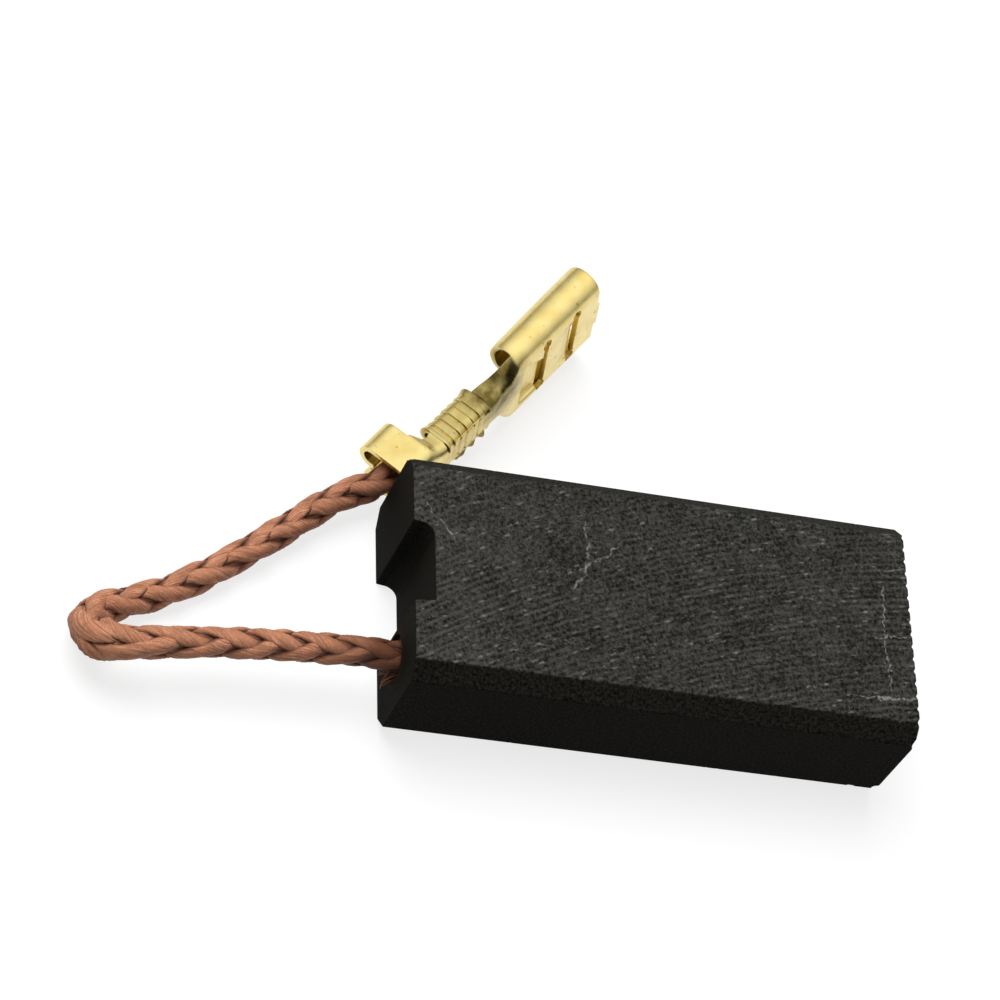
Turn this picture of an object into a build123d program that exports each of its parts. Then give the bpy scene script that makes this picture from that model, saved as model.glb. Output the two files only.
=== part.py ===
"""Carbon brush with a plaited copper lead and a crimped brass receptacle.

Millimetres. The block lies on its back big face: +X runs from the slotted end to the contact end,
+Y across the width and +Z out of the big face. The origin is the middle of the block's underside.
"""

import math
import os

from build123d import *

os.makedirs("parts", exist_ok=True)

# Block
block_length = 33.5
block_width = 16.0
block_thickness = 8.5
long_edge_chamfer = 1.1
spring_slot_width = 5.7
spring_slot_floor_width = 5.35
spring_slot_depth = 1.35
spring_slot_corner = 0.9
hole_diameter = 2.9
hole_depth = 5.2
hole_edge_distance = 3.45
hole_y = -block_width / 2 + hole_edge_distance
hole_z = 4.0
contact_groove_pitch = 0.9
contact_groove_depth = 0.12
contact_groove_half_width = 0.405
contact_groove_overcut = 0.1
contact_edge_land = 0.4
powder_recess = 0.35

# Lead
lead_diameter = 2.05
lead_root_depth = 4.15
lead_route = [
    (-block_length / 2 + lead_root_depth, hole_y + 0.10, hole_z),
    (-block_length / 2 - 1.15, hole_y + 0.15, hole_z),
    (-23.46, -4.61, 3.85),
    (-28.18, -4.94, 3.62),
    (-31.48, -5.39, 3.52),
    (-34.55, -5.78, 3.36),
    (-35.86, -4.72, 2.36),
    (-35.74, -3.10, 1.32),
    (-34.22, -1.86, 1.06),
    (-30.90, -0.52, 1.06),
    (-27.63, 1.63, 1.08),
    (-23.48, 4.88, 1.33),
    (-19.60, 8.12, 1.72),
]
lead_height_in_barrel = 1.93
lead_run_up = 0.5
lead_end_in_barrel = 0.25
bend_share_of_run = 0.45
gathered_radius = 0.8
gathered_height = 1.25
strand_ends_width = 1.6
strand_ends_height = 0.72
strand_ends_corner = 0.3
strand_ends_middle = 0.85
strand_ends_length = 0.55

# Receptacle terminal, in its own frame: x along the terminal from the rear edge of the rolls,
# y across its floor and z out of the floor on the open side
terminal_origin = (-7.80, 16.95, 3.90)
terminal_heading = 50.0
terminal_pitch = 6.9
terminal_lean = 9.9
sheet = 0.38
tab_width = 6.3
tab_thickness = 0.8
tab_side_clearance = 0.17
roll_preload = 0.13
receptacle_width = tab_width + 2 * (tab_side_clearance + sheet)
receptacle_height = 2.72
roll_length = 8.0
roll_radius = 1.35
roll_gap = 2.0
roll_edge_height = sheet + tab_thickness - roll_preload
window_positions = (2.45, 5.62)
window_width = 0.46
window_half_length = 2.35
window_end_radius = 0.42
bridge_rise = 0.12
bridge_flat = 3.2
bridge_foot = 4.4
bridge_bend = 0.5
relief_height = 0.85
relief_rear_height = 1.6
relief_length = 1.9
stub_width = 2.2
stub_length = 0.3
crimp_rear = -7.55
crimp_front = -3.35
crimp_width = 2.8
crimp_height = 2.42
crimp_corner = 0.7
crimp_wing_drop = 1.17
crimp_bell_length = 0.45
crimp_bell_rise = 0.14
crimp_step_count = 6
crimp_step_depth = 0.08
crimp_step_half_width = 0.08
barrel_rear = -11.5
barrel_front = -9.05
barrel_width = 3.9
barrel_height = 4.2
barrel_corner = 1.1
barrel_wing_drop = 1.25
barrel_rise = 0.15
neck_width = 3.25
neck_height = 2.0
neck_corner = 0.85
neck_rise = 0.06
neck_side_at_barrel = 2.3
neck_side_at_crimp = 1.75
seam = 0.03
clearance = 0.012
overlap = 0.05
turn_slack = 0.005
cut_margin = 0.5

# Sections of the strip from the crimp to the rolls: distance along the terminal, width, height, corner radius
transition_sections = [
    (crimp_front, crimp_width, 1.75, crimp_corner),
    (-2.6, 2.70, 1.80, 0.66),
    (-1.8, 2.95, 1.80, 0.72),
    (-1.0, 4.50, 1.72, 1.00),
    (-0.3, 6.90, 1.60, 1.28),
    (0, receptacle_width, 1.52, roll_radius),
]

hole_plane = Plane(origin=(-block_length / 2, hole_y, hole_z), x_dir=(0, 1, 0), z_dir=(1, 0, 0))
crimp_wing_end = crimp_height - crimp_wing_drop
barrel_wing_end = barrel_height - barrel_wing_drop

# Directions of the terminal in the block's frame
heading = math.radians(terminal_heading)
pitch = math.radians(terminal_pitch)
lean = math.radians(terminal_lean)
along = Vector(math.cos(heading) * math.cos(pitch), math.sin(heading) * math.cos(pitch), math.sin(pitch))
side = Vector(math.sin(heading), -math.cos(heading), 0)
upright = side.cross(along)
open_side = (side * math.cos(lean) + upright * math.sin(lean)) * -1
terminal_plane = Plane(origin=terminal_origin, x_dir=along, z_dir=open_side)


def across(distance):
    """Section plane of the terminal: x across its floor, y out of the floor."""
    return Plane(
        origin=terminal_plane.from_local_coords((distance, 0, 0)),
        x_dir=terminal_plane.y_dir,
        z_dir=terminal_plane.x_dir,
    )


def channel(width, height, corner, rise=0.0):
    """Open U section of the folded sheet."""
    half = width / 2
    inner = half - sheet
    top = rise + height
    with BuildLine() as outline:
        FilletPolyline((-half, top), (-half, rise), (half, rise), (half, top), radius=corner)
        Line((half, top), (inner, top))
        FilletPolyline(
            (inner, top), (inner, rise + sheet), (-inner, rise + sheet), (-inner, top),
            radius=corner - sheet,
        )
        Line((-inner, top), (-half, top))
    return outline.line


def wrap(width, height, corner, edge_height, gap, rise=0.0):
    """Closed section of the folded sheet: both wings turn over the top and down into the middle."""
    half = width / 2
    turn = (half - gap) / 2 - turn_slack
    inner = half - sheet
    inner_gap = gap + sheet
    low, top, end = rise, rise + height, rise + edge_height
    with BuildLine() as outline:
        FilletPolyline(
            (gap, end), (gap, top), (half, top), (half, low),
            (-half, low), (-half, top), (-gap, top), (-gap, end),
            radius=[turn, turn, corner, corner, turn, turn],
        )
        Line((-gap, end), (-inner_gap, end))
        FilletPolyline(
            (-inner_gap, end), (-inner_gap, top - sheet), (-inner, top - sheet), (-inner, low + sheet),
            (inner, low + sheet), (inner, top - sheet), (inner_gap, top - sheet), (inner_gap, end),
            radius=[turn - sheet, turn - sheet, corner - sheet, corner - sheet, turn - sheet, turn - sheet],
        )
        Line((inner_gap, end), (gap, end))
    return outline.line


def filling(width, height, corner, edge_height, gap):
    """Inside of a closed section, as the pressed strands fill it."""
    half = width / 2 - sheet - clearance
    inner_gap = gap + sheet + clearance
    turn = (half - inner_gap) / 2 - turn_slack
    low, top, end = sheet + clearance, height - sheet - clearance, edge_height - clearance
    with BuildLine() as outline:
        FilletPolyline(
            (inner_gap, end), (inner_gap, top), (half, top), (half, low),
            (-half, low), (-half, top), (-inner_gap, top), (-inner_gap, end),
            radius=[turn, turn, corner - sheet, corner - sheet, turn, turn],
        )
        Line((-inner_gap, end), (inner_gap, end))
    return outline.line


# Block: pressed and ground bar with a spring slot and a lead hole at one end
with BuildPart() as carbon_block:
    with BuildSketch(Plane.YZ.offset(-block_length / 2)):
        with Locations((0, block_thickness / 2)):
            Rectangle(block_width, block_thickness)
        chamfer(vertices(), length=long_edge_chamfer)
    extrude(amount=block_length)

    # Slot for the pressure spring, open through the thickness, one floor corner rounded
    with BuildSketch() as slot_sketch:
        with BuildLine():
            left = -block_length / 2
            floor_x = left + spring_slot_depth
            Polyline(
                (left - cut_margin, -spring_slot_width / 2),
                (left, -spring_slot_width / 2),
                (floor_x, -spring_slot_floor_width / 2),
                (floor_x, spring_slot_floor_width / 2),
                (left, spring_slot_width / 2),
                (left - cut_margin, spring_slot_width / 2),
                close=True,
            )
        make_face()
        floor_corners = slot_sketch.vertices().filter_by(lambda v: v.X > left + spring_slot_depth / 2)
        fillet(floor_corners.sort_by(Axis.Y)[-1], radius=spring_slot_corner)
    extrude(amount=block_thickness, mode=Mode.SUBTRACT)

    # Hole for the lead in the shoulder beside the slot
    with BuildSketch(hole_plane):
        Circle(hole_diameter / 2)
    extrude(amount=hole_depth, mode=Mode.SUBTRACT)

    # Contact face with the shallow grooves that the commutator has to wear in
    groove_count = int((block_width - 2 * contact_edge_land) / contact_groove_pitch)
    with BuildSketch(Plane.XY.offset(-cut_margin)):
        with Locations((block_length / 2, 0)):
            with GridLocations(1, contact_groove_pitch, 1, groove_count):
                Polygon(
                    (-contact_groove_depth, 0),
                    (contact_groove_overcut, -contact_groove_half_width),
                    (contact_groove_overcut, contact_groove_half_width),
                    align=None,
                )
    extrude(amount=block_thickness + 2 * cut_margin, mode=Mode.SUBTRACT)
carbon_block.part.label = "carbon_block"

# Lead: the tube's path is straight runs and tangent arcs, from the hole to the barrel of the terminal
route = [Vector(*p) for p in lead_route]
for x in (barrel_rear - lead_run_up, barrel_front - lead_end_in_barrel):
    route.append(terminal_plane.from_local_coords(Vector(x, 0, lead_height_in_barrel)))
runs = [b - a for a, b in zip(route, route[1:])]
turns = [math.radians(a.get_angle(b)) for a, b in zip(runs, runs[1:])]
bend_radii = [
    bend_share_of_run * min(a.length, b.length) / math.tan(t / 2) for a, b, t in zip(runs, runs[1:], turns)
]

with BuildPart() as shunt_lead:
    with BuildLine() as lead_path:
        FilletPolyline(*route, radius=bend_radii)
    lead_wire = lead_path.wire()
    with BuildSketch(Plane(origin=lead_wire @ 0, z_dir=lead_wire % 0)):
        Circle(lead_diameter / 2)
    sweep(path=lead_wire)
    tube_volume = shunt_lead.part.volume
    tube_length = lead_wire.length

    # The braid is squeezed together through the neck of the terminal
    with BuildSketch(across(barrel_front - lead_end_in_barrel)):
        with Locations((0, lead_height_in_barrel)):
            Circle(lead_diameter / 2)
    with BuildSketch(across(crimp_rear - overlap)):
        with Locations((0, gathered_height)):
            Circle(gathered_radius)
    loft()

    # Pressed strands in the conductor crimp, and their ends beyond it
    with BuildSketch(across(crimp_rear - overlap)):
        with BuildLine():
            add(filling(crimp_width, crimp_height, crimp_corner, crimp_wing_end, seam / 2))
        make_face()
    extrude(amount=crimp_front - crimp_rear + 2 * overlap)
    with BuildSketch(across(crimp_front)):
        with Locations((0, strand_ends_middle)):
            RectangleRounded(strand_ends_width, strand_ends_height, strand_ends_corner)
    extrude(amount=strand_ends_length)
shunt_lead.part.label = "shunt_lead"

# Powder tamped round the lead in its hole, dished at the top
with BuildPart() as tamped_powder:
    with BuildSketch(hole_plane.offset(powder_recess)):
        Circle(hole_diameter / 2)
    extrude(amount=hole_depth - powder_recess)
    add(shunt_lead.part, mode=Mode.SUBTRACT)
tamped_powder.part.label = "tamped_powder"

# Terminal: one strip of brass, folded
with BuildPart() as receptacle_terminal:
    # Receptacle: a flat floor and two rolls that press on the tab
    with BuildSketch(across(0)):
        with BuildLine():
            add(wrap(receptacle_width, receptacle_height, roll_radius, roll_edge_height, roll_gap / 2))
        make_face()
    extrude(amount=roll_length)

    # Windows across the floor, with the spring bridge pressed up between them
    with BuildSketch(terminal_plane.offset(-cut_margin)):
        for position in window_positions:
            with Locations((position, 0)):
                SlotOverall(2 * window_half_length + window_width, window_width, rotation=90)
            with Locations((position, -window_half_length), (position, window_half_length)):
                Circle(window_end_radius)
    extrude(amount=sheet + 2 * cut_margin, mode=Mode.SUBTRACT)
    bridge_start = window_positions[0] + window_width / 2
    bridge_end = window_positions[1] - window_width / 2
    with BuildSketch(terminal_plane.offset(-cut_margin)):
        with Locations(((bridge_start + bridge_end) / 2, 0)):
            Rectangle(bridge_end - bridge_start, bridge_foot - 2 * overlap)
    extrude(amount=sheet + 2 * cut_margin, mode=Mode.SUBTRACT)
    flat, foot = bridge_flat / 2, bridge_foot / 2
    with BuildSketch(across(bridge_start)):
        with BuildLine():
            FilletPolyline(
                (-foot, 0), (-flat, bridge_rise), (flat, bridge_rise), (foot, 0), radius=bridge_bend,
            )
            Line((foot, 0), (foot, sheet))
            FilletPolyline(
                (foot, sheet), (flat, sheet + bridge_rise), (-flat, sheet + bridge_rise), (-foot, sheet),
                radius=bridge_bend,
            )
            Line((-foot, sheet), (-foot, 0))
        make_face()
    extrude(amount=bridge_end - bridge_start)

    # Stub where the strip was cut from its carrier
    with BuildSketch(terminal_plane):
        with Locations((roll_length + stub_length / 2 - overlap, 0)):
            Rectangle(stub_length + 2 * overlap, stub_width)
    extrude(amount=sheet)

    # Transition from the rolls to the conductor crimp
    for distance, width, height, corner in transition_sections:
        with BuildSketch(across(distance)):
            with BuildLine():
                add(channel(width, height, corner))
            make_face()
    loft()

    # The strip's edges dip behind the rolls, where the wings were cut free
    with BuildSketch(Plane(origin=terminal_origin, x_dir=along, z_dir=-terminal_plane.y_dir)):
        with BuildLine():
            Polyline(
                (-relief_length, relief_rear_height), (-relief_length / 4, relief_height), (0, relief_height),
                (0, receptacle_height), (-relief_length, receptacle_height), close=True,
            )
        make_face()
    extrude(amount=receptacle_width, both=True, mode=Mode.SUBTRACT)

    # Conductor crimp with bell mouths, stepped by the anvil
    bell_width = crimp_width + 2 * crimp_bell_rise
    bell_height = crimp_height + crimp_bell_rise
    with BuildSketch(across(crimp_rear)):
        with BuildLine():
            add(wrap(bell_width, bell_height, crimp_corner, crimp_wing_end + crimp_bell_rise, seam / 2))
        make_face()
    with BuildSketch(across(crimp_rear + crimp_bell_length)):
        with BuildLine():
            add(wrap(crimp_width, crimp_height, crimp_corner, crimp_wing_end, seam / 2))
        make_face()
    loft(ruled=True)
    with BuildSketch(across(crimp_rear + crimp_bell_length)):
        with BuildLine():
            add(wrap(crimp_width, crimp_height, crimp_corner, crimp_wing_end, seam / 2))
        make_face()
    extrude(amount=crimp_front - crimp_rear - 2 * crimp_bell_length)
    with BuildSketch(across(crimp_front - crimp_bell_length)):
        with BuildLine():
            add(wrap(crimp_width, crimp_height, crimp_corner, crimp_wing_end, seam / 2))
        make_face()
    with BuildSketch(across(crimp_front)):
        with BuildLine():
            add(wrap(bell_width, bell_height, crimp_corner, crimp_wing_end + crimp_bell_rise, seam / 2))
        make_face()
    loft(ruled=True)
    step_pitch = (crimp_front - crimp_rear - 2 * crimp_bell_length) / (crimp_step_count - 1)
    for step in range(crimp_step_count):
        step_start = crimp_rear + crimp_bell_length + step * step_pitch - crimp_step_half_width
        with BuildSketch(across(step_start)):
            with Locations((0, crimp_height / 2)):
                Rectangle(crimp_width + 2 * cut_margin, crimp_height + 2 * cut_margin)
                RectangleRounded(
                    crimp_width - 2 * crimp_step_depth, crimp_height - 2 * crimp_step_depth,
                    crimp_corner - crimp_step_depth, mode=Mode.SUBTRACT,
                )
        extrude(amount=2 * crimp_step_half_width, mode=Mode.SUBTRACT)

    # Neck, and the barrel that grips the braid behind the crimp
    with BuildSketch(across(barrel_front)):
        with BuildLine():
            add(channel(barrel_width, neck_side_at_barrel, barrel_corner, barrel_rise))
        make_face()
    with BuildSketch(across((barrel_front + crimp_rear) / 2)):
        with BuildLine():
            add(channel(neck_width, neck_height, neck_corner, neck_rise))
        make_face()
    with BuildSketch(across(crimp_rear)):
        with BuildLine():
            add(channel(crimp_width + 2 * crimp_bell_rise, neck_side_at_crimp, crimp_corner))
        make_face()
    loft()
    with BuildSketch(across(barrel_rear)):
        with BuildLine():
            add(wrap(barrel_width, barrel_height, barrel_corner, barrel_wing_end, seam, barrel_rise))
        make_face()
    extrude(amount=barrel_front - barrel_rear)
receptacle_terminal.part.label = "receptacle_terminal"

for piece in (carbon_block, tamped_powder, shunt_lead, receptacle_terminal):
    export_step(piece.part, f"parts/{piece.part.label}.step")
    box = piece.part.bounding_box()
    print(
        piece.part.label, "solids", len(piece.part.solids()), "valid", piece.part.is_valid,
        "volume", round(piece.part.volume, 3), "x", round(box.min.X, 2), round(box.max.X, 2),
        "y", round(box.min.Y, 2), round(box.max.Y, 2), "z", round(box.min.Z, 3), round(box.max.Z, 3),
    )
print("bend radii", [round(r, 2) for r in bend_radii])
print("runs", [round(r.length, 2) for r in runs], "turns", [round(math.degrees(t), 1) for t in turns])
print("lead length", round(tube_length, 2), "tube volume", round(tube_volume, 3),
      "section times length", round(math.pi * lead_diameter**2 / 4 * tube_length, 3))
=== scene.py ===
"""Looks of a carbon brush with a plaited copper lead and a crimped brass receptacle.

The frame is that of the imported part: the block lies on z = 0, +X runs from the slotted end to the contact
end, +Y across the width and +Z out of the upper big face. Meshes are in metres, and so are the named lengths
with * MM behind them and those of the floor and the light. The other named lengths are in millimetres.
"""

import math

import bmesh
import bpy
import numpy as np
from mathutils import Matrix, Vector

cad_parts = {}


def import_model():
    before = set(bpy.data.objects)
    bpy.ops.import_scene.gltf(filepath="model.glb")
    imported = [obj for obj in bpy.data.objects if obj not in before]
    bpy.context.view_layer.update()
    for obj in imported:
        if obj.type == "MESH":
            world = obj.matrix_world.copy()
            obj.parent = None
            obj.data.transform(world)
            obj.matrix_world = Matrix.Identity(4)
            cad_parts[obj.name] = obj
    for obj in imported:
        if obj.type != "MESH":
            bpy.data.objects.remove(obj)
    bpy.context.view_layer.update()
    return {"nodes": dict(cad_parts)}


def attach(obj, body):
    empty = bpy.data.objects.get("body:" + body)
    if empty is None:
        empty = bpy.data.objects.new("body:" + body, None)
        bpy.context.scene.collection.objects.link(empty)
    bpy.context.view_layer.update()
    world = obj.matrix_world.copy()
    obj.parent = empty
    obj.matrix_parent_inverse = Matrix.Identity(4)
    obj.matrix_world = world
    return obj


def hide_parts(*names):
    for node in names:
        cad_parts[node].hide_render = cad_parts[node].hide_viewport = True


MM = 0.001

# Camera, fitted to the corners of the block and to the receptacle
camera_place = Vector((-76.58, -115.43, 200.03)) * MM
camera_target = Vector((-9.51, 8.01, 4.0)) * MM
camera_right = Vector((0.9506, -0.0253, 0.3093))
camera_lens_mm = 134.39
sensor_width_mm = 36.0

# Block
block_length = 33.5
block_width = 16.0
block_thickness = 8.5
block_chamfer = 1.1
slot_floor = -15.4
small_chips = 90
edge_wear = 0.10

# Lead
lead_route_mm = [
    (-12.6, -4.45, 4.0),
    (-17.9, -4.40, 4.0),
    (-23.46, -4.61, 3.85),
    (-28.18, -4.94, 3.62),
    (-31.48, -5.39, 3.52),
    (-34.55, -5.78, 3.36),
    (-35.86, -4.72, 2.36),
    (-35.74, -3.10, 1.32),
    (-34.22, -1.86, 1.06),
    (-30.90, -0.52, 1.06),
    (-27.63, 1.63, 1.08),
    (-23.48, 4.88, 1.33),
    (-19.60, 8.12, 1.72),
]
lead_height_in_barrel = 1.93
lead_root = 4.15
lead_run_up = 0.5
lead_end_in_barrel = 0.25
plait_pitch = 12.9
plait_turn_at_block = 0.23
plait_turn_at_terminal = 0.78
fold_start, fold_end = 17.0, 24.0
strands_each_way = 4
wires_lay_pitch = 5.2
wire_lobes = 18
points_per_lobe = 3
stations_per_mm = 3.7
fold_middle = 19.5
fold_swell = 0.32
fold_swell_length = 3.5

# Strands of the lead: reach of their middle from the line, half thickness and half width of their section
strand_reach = 0.565
strand_reach_swing = 0.195
strand_half_thick = 0.34
strand_thinning = 0.06
strand_half_wide = 0.40
strand_widening = 0.05
strand_widening_on_top = 0.13
strand_hug = 0.50
strand_lowest = 0.02
wire_height = 0.10
wire_slack = 0.035

# Broken wires at the hole, and the wires in the crimp
fray_count = 16
fray_root = (-16.0, -4.9, 3.25)
fray_wire_radius = 0.065
crimped_wires = 26
crimped_wire_radius = 0.165
crimped_wire_squeeze = 0.035

# Receptacle terminal: place and turn of its own frame, as the part has them
terminal_origin = Vector((-7.80, 16.95, 3.90)) * MM
terminal_heading = math.radians(50.0)
terminal_pitch = math.radians(6.9)
terminal_lean = math.radians(9.9)
barrel_rear = -11.5
barrel_front = -9.05
crimp_rear = -7.55
crimp_front = -3.35
roll_rear = -0.55
roll_front = 8.0
sheet = 0.38
stub_length = 0.3
stub_half_width = 1.1
window_edges = (2.68, 5.85)
window_width = 0.46
window_half_length = 2.35
window_end_radius = 0.42
hollow_depth = 0.36
bridge_curl = 0.22
crimp_step_pitch = 0.66
crimp_step_depth = 0.075
flash_root = (1.08, 0.13)
flash_reach = (0.42, 0.14)
bell_rear = (0.07, 0.45)
bell_front = (0.06, 0.40)
bell_middle = 1.2
window_cut_low = -0.3
window_cut_high = 0.95
strip_edge_rounding = 0.035
# Middles of the brass's painted shade in the trough behind the rolls and over the crimp
trough_middle = (-2.1, -1.4, 0.8)
crimp_middle = (-5.2, 0.0, 1.4)

# Sections of the strip along the terminal: half width, corner radius, height of its sides, rise of its floor
strip_places = (-11.5, -9.05, -8.3, -7.55, -7.1, -3.8, -3.35, -2.7, -2.0, -1.4, -0.9, -0.55, 0.0, 8.0, 8.3)
strip_sections = (
    (1.95, 1.10, 2.30, 0.15),
    (1.95, 1.10, 2.30, 0.15),
    (1.56, 0.82, 1.52, 0.06),
    (1.40, 0.70, 1.73, 0.0),
    (1.40, 0.70, 1.73, 0.0),
    (1.40, 0.70, 1.73, 0.0),
    (1.40, 0.70, 1.73, 0.0),
    (1.35, 0.66, 1.72, 0.0),
    (1.50, 0.72, 1.58, 0.0),
    (2.05, 0.88, 1.34, 0.0),
    (3.00, 1.12, 1.05, 0.0),
    (3.60, 1.24, 0.88, 0.0),
    (3.70, 1.26, 0.85, 0.0),
    (3.70, 1.35, 0.85, 0.0),
    (3.70, 1.35, 0.85, 0.0),
)
# Wings: height of the straight side above the corner, radius of the turn over the top, length of the end
near_barrel_wing = (2.145, 0.955, 0.295)
far_barrel_wing = (1.60, 0.90, 0.20)
crimp_wing = (1.03, 0.6875, 0.48)
roll_wing_end = 0.25
strip_columns = 72
wing_columns = 36
# The wings that a station of the strip has
wingless, barrel_winged, crimp_winged, roll_winged = range(4)

# Floor and light, with places and sizes in metres
floor_half = 1.2
floor_colour = 0.25
floor_glow = 0.78
room_low = 0.22
room_high = 1.45
room_diffuse = 0.20
key_place = (-0.20, 0.40, 0.90)
key_size = 0.9
key_power = 12.0

# Marks on the block, and its painted light and shade: where they are and how large
grinding_centre = (29.4, -78.9)
grinding_radius = 80.0
grinding_pitch = 0.43
grinding_sway = 7.0
scratch_jitter = 0.9
scratch_fade = 0.6
plain_patch = (-8.0, 6.0, 0.0)
# Painted light: the span in X over which the ground faces turn paler towards the slotted end
painted_light_towards_slot_end = (-16.5, -8.0)
# Painted shade in the slot and on the slotted end face: heights between which it deepens downwards
end_shade_heights = (8.4, 4.5)
hole_mouth = (-16.75, -4.55, 4.0)
# Scratches on the upper face: start, end and width
scratches = (
    ((-5.48, 4.59), (-5.20, 2.90), 0.075),
    ((-5.22, 3.16), (-5.11, 1.50), 0.09),
    ((-5.13, 1.74), (-5.66, 0.45), 0.12),
    ((-5.60, 0.60), (-6.45, -0.60), 0.12),
    ((-5.13, 1.60), (-4.20, 1.88), 0.09),
    ((-4.34, 1.80), (-3.05, 3.20), 0.10),
    ((-16.14, 4.43), (-15.20, 3.27), 0.08),
    ((-15.30, 3.43), (-14.05, 1.70), 0.08),
    ((14.90, 2.95), (14.84, -1.20), 0.08),
    ((14.84, -1.00), (14.90, -4.90), 0.09),
    ((13.40, -5.52), (17.10, -5.10), 0.16),
    ((12.20, -5.58), (14.60, -5.36), 0.10),
    ((14.60, 4.00), (17.00, 4.35), 0.07),
    ((13.80, -1.10), (17.00, -0.70), 0.07),
    ((-10.90, -5.62), (-9.90, -5.34), 0.16),
    ((-9.20, -4.95), (-8.10, -4.80), 0.11),
    ((-7.40, -4.32), (-6.35, -4.55), 0.09),
)

# Finishes, as linear colours
carbon_dark = (0.006, 0.006, 0.0055)
carbon_grey = (0.072, 0.070, 0.063)
carbon_speck = (0.25, 0.25, 0.235)
carbon_pit = (0.003, 0.003, 0.003)
carbon_scratch = (0.26, 0.26, 0.25)
# Pressed sides and end faces of the block, darker partly as painted shade
carbon_side_and_shade_dark = (0.002, 0.002, 0.0017)
carbon_side_and_shade = (0.033, 0.031, 0.026)
carbon_end_and_shade = (0.0100, 0.0078, 0.0042)
copper_dust = (0.08, 0.03, 0.014)
copper_bright = (0.90, 0.425, 0.245)
copper_dull = (0.36, 0.13, 0.062)
copper_brown = (0.20, 0.085, 0.05)
# Copper where the lead turns darker near the hole and near the barrel's mouth
copper_dark_at_ends = (0.10, 0.03, 0.012)
# Copper for the painted shade in the gaps between the strands
copper_gap_shade = (0.06, 0.018, 0.009)
powder_dark = (0.03, 0.012, 0.008)
powder_light = (0.16, 0.06, 0.03)
brass_bright = (0.84, 0.69, 0.28)
brass_warm = (0.76, 0.58, 0.19)
# Brass for the freckles, and for the painted shade in the trough and over the crimp
brass_freckle_and_shade = (0.12, 0.09, 0.02)


def terminal_axes():
    """Unit vectors of the terminal's frame: along it, across its floor, and out of its floor."""
    along = Vector((
        math.cos(terminal_heading) * math.cos(terminal_pitch),
        math.sin(terminal_heading) * math.cos(terminal_pitch),
        math.sin(terminal_pitch),
    ))
    side = Vector((math.sin(terminal_heading), -math.cos(terminal_heading), 0))
    upright = side.cross(along)
    open_side = -(side * math.cos(terminal_lean) + upright * math.sin(terminal_lean))
    return along, open_side.cross(along), open_side


def on_terminal(points_mm):
    """Points given in millimetres in the terminal's frame, as an array in the frame of the part."""
    axes = np.array([tuple(axis) for axis in terminal_axes()])
    return np.asarray(points_mm, float) @ axes * MM + np.array(terminal_origin)


def new_mesh_piece(name, points, faces, material, smooth=True):
    """A mesh object at the origin, from an array of points and an array or a list of faces."""
    mesh = bpy.data.meshes.new(name)
    mesh.from_pydata(points.tolist(), [], faces if isinstance(faces, list) else faces.tolist())
    mesh.polygons.foreach_set("use_smooth", np.full(len(mesh.polygons), smooth))
    mesh.update()
    piece = bpy.data.objects.new(name, mesh)
    bpy.context.scene.collection.objects.link(piece)
    piece.data.materials.append(material)
    return piece


def grid_faces(rows, columns, closed_columns=True, first=0):
    """Quads between the rows of a grid of points, each row a ring if its columns close."""
    i = np.arange(rows - 1)[:, None]
    j = np.arange(columns if closed_columns else columns - 1)[None, :]
    after = (j + 1) % columns
    low, high = i * columns, (i + 1) * columns
    return np.stack([low + j, low + after, high + after, high + j], -1).reshape(-1, 4) + first


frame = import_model()
nodes = frame["nodes"]


# Materials


def new_material(name):
    """A material with its Principled BSDF, as (material, nodes, links, shader)."""
    material = bpy.data.materials.new(name)
    material.use_nodes = True
    tree = material.node_tree
    return material, tree.nodes, tree.links, tree.nodes["Principled BSDF"]


def add_node(tree, kind, settings=None, inputs=None):
    """A new node with its settings, its inputs set to values or linked from sockets."""
    made = tree.nodes.new("ShaderNode" + kind)
    for name, value in (settings or {}).items():
        setattr(made, name, value)
    for key, value in (inputs or {}).items():
        if isinstance(value, bpy.types.NodeSocket):
            tree.links.new(value, made.inputs[key])
        else:
            made.inputs[key].default_value = value
    return made


def calc(tree, operation, *values):
    """Result of a Math node on sockets or numbers."""
    return add_node(tree, "Math", {"operation": operation}, dict(enumerate(values))).outputs[0]


def remap(tree, value, low, high, to_low=0.0, to_high=1.0):
    """A value taken from one range to another and kept inside it."""
    inputs = {"Value": value, "From Min": low, "From Max": high, "To Min": to_low, "To Max": to_high}
    return add_node(tree, "MapRange", None, inputs).outputs["Result"]


def blend(tree, share, first, second, how="MIX"):
    """Mix of two colours, each a socket or three numbers."""
    first, second = ((*c, 1) if isinstance(c, tuple) else c for c in (first, second))
    settings = {"data_type": "RGBA", "blend_type": how, "clamp_factor": True}
    return add_node(tree, "Mix", settings, {0: share, 6: first, 7: second}).outputs[2]


def noise(tree, place, scale, detail=2.0, roughness=0.5):
    """Value of a noise texture, about 0.5 on average."""
    inputs = {"Vector": place, "Scale": scale, "Detail": detail, "Roughness": roughness}
    return add_node(tree, "TexNoise", None, inputs).outputs[0]


def new_group(name, vectors, values):
    """A node group with those inputs and one output, Mask, as (group, its inputs, its output)."""
    group = bpy.data.node_groups.new(name, "ShaderNodeTree")
    for kind, names in (("NodeSocketVector", vectors), ("NodeSocketFloat", values)):
        for socket in names:
            group.interface.new_socket(socket, in_out="INPUT", socket_type=kind)
    group.interface.new_socket("Mask", in_out="OUTPUT", socket_type="NodeSocketFloat")
    return group, group.nodes.new("NodeGroupInput").outputs, group.nodes.new("NodeGroupOutput").inputs[0]


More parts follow.
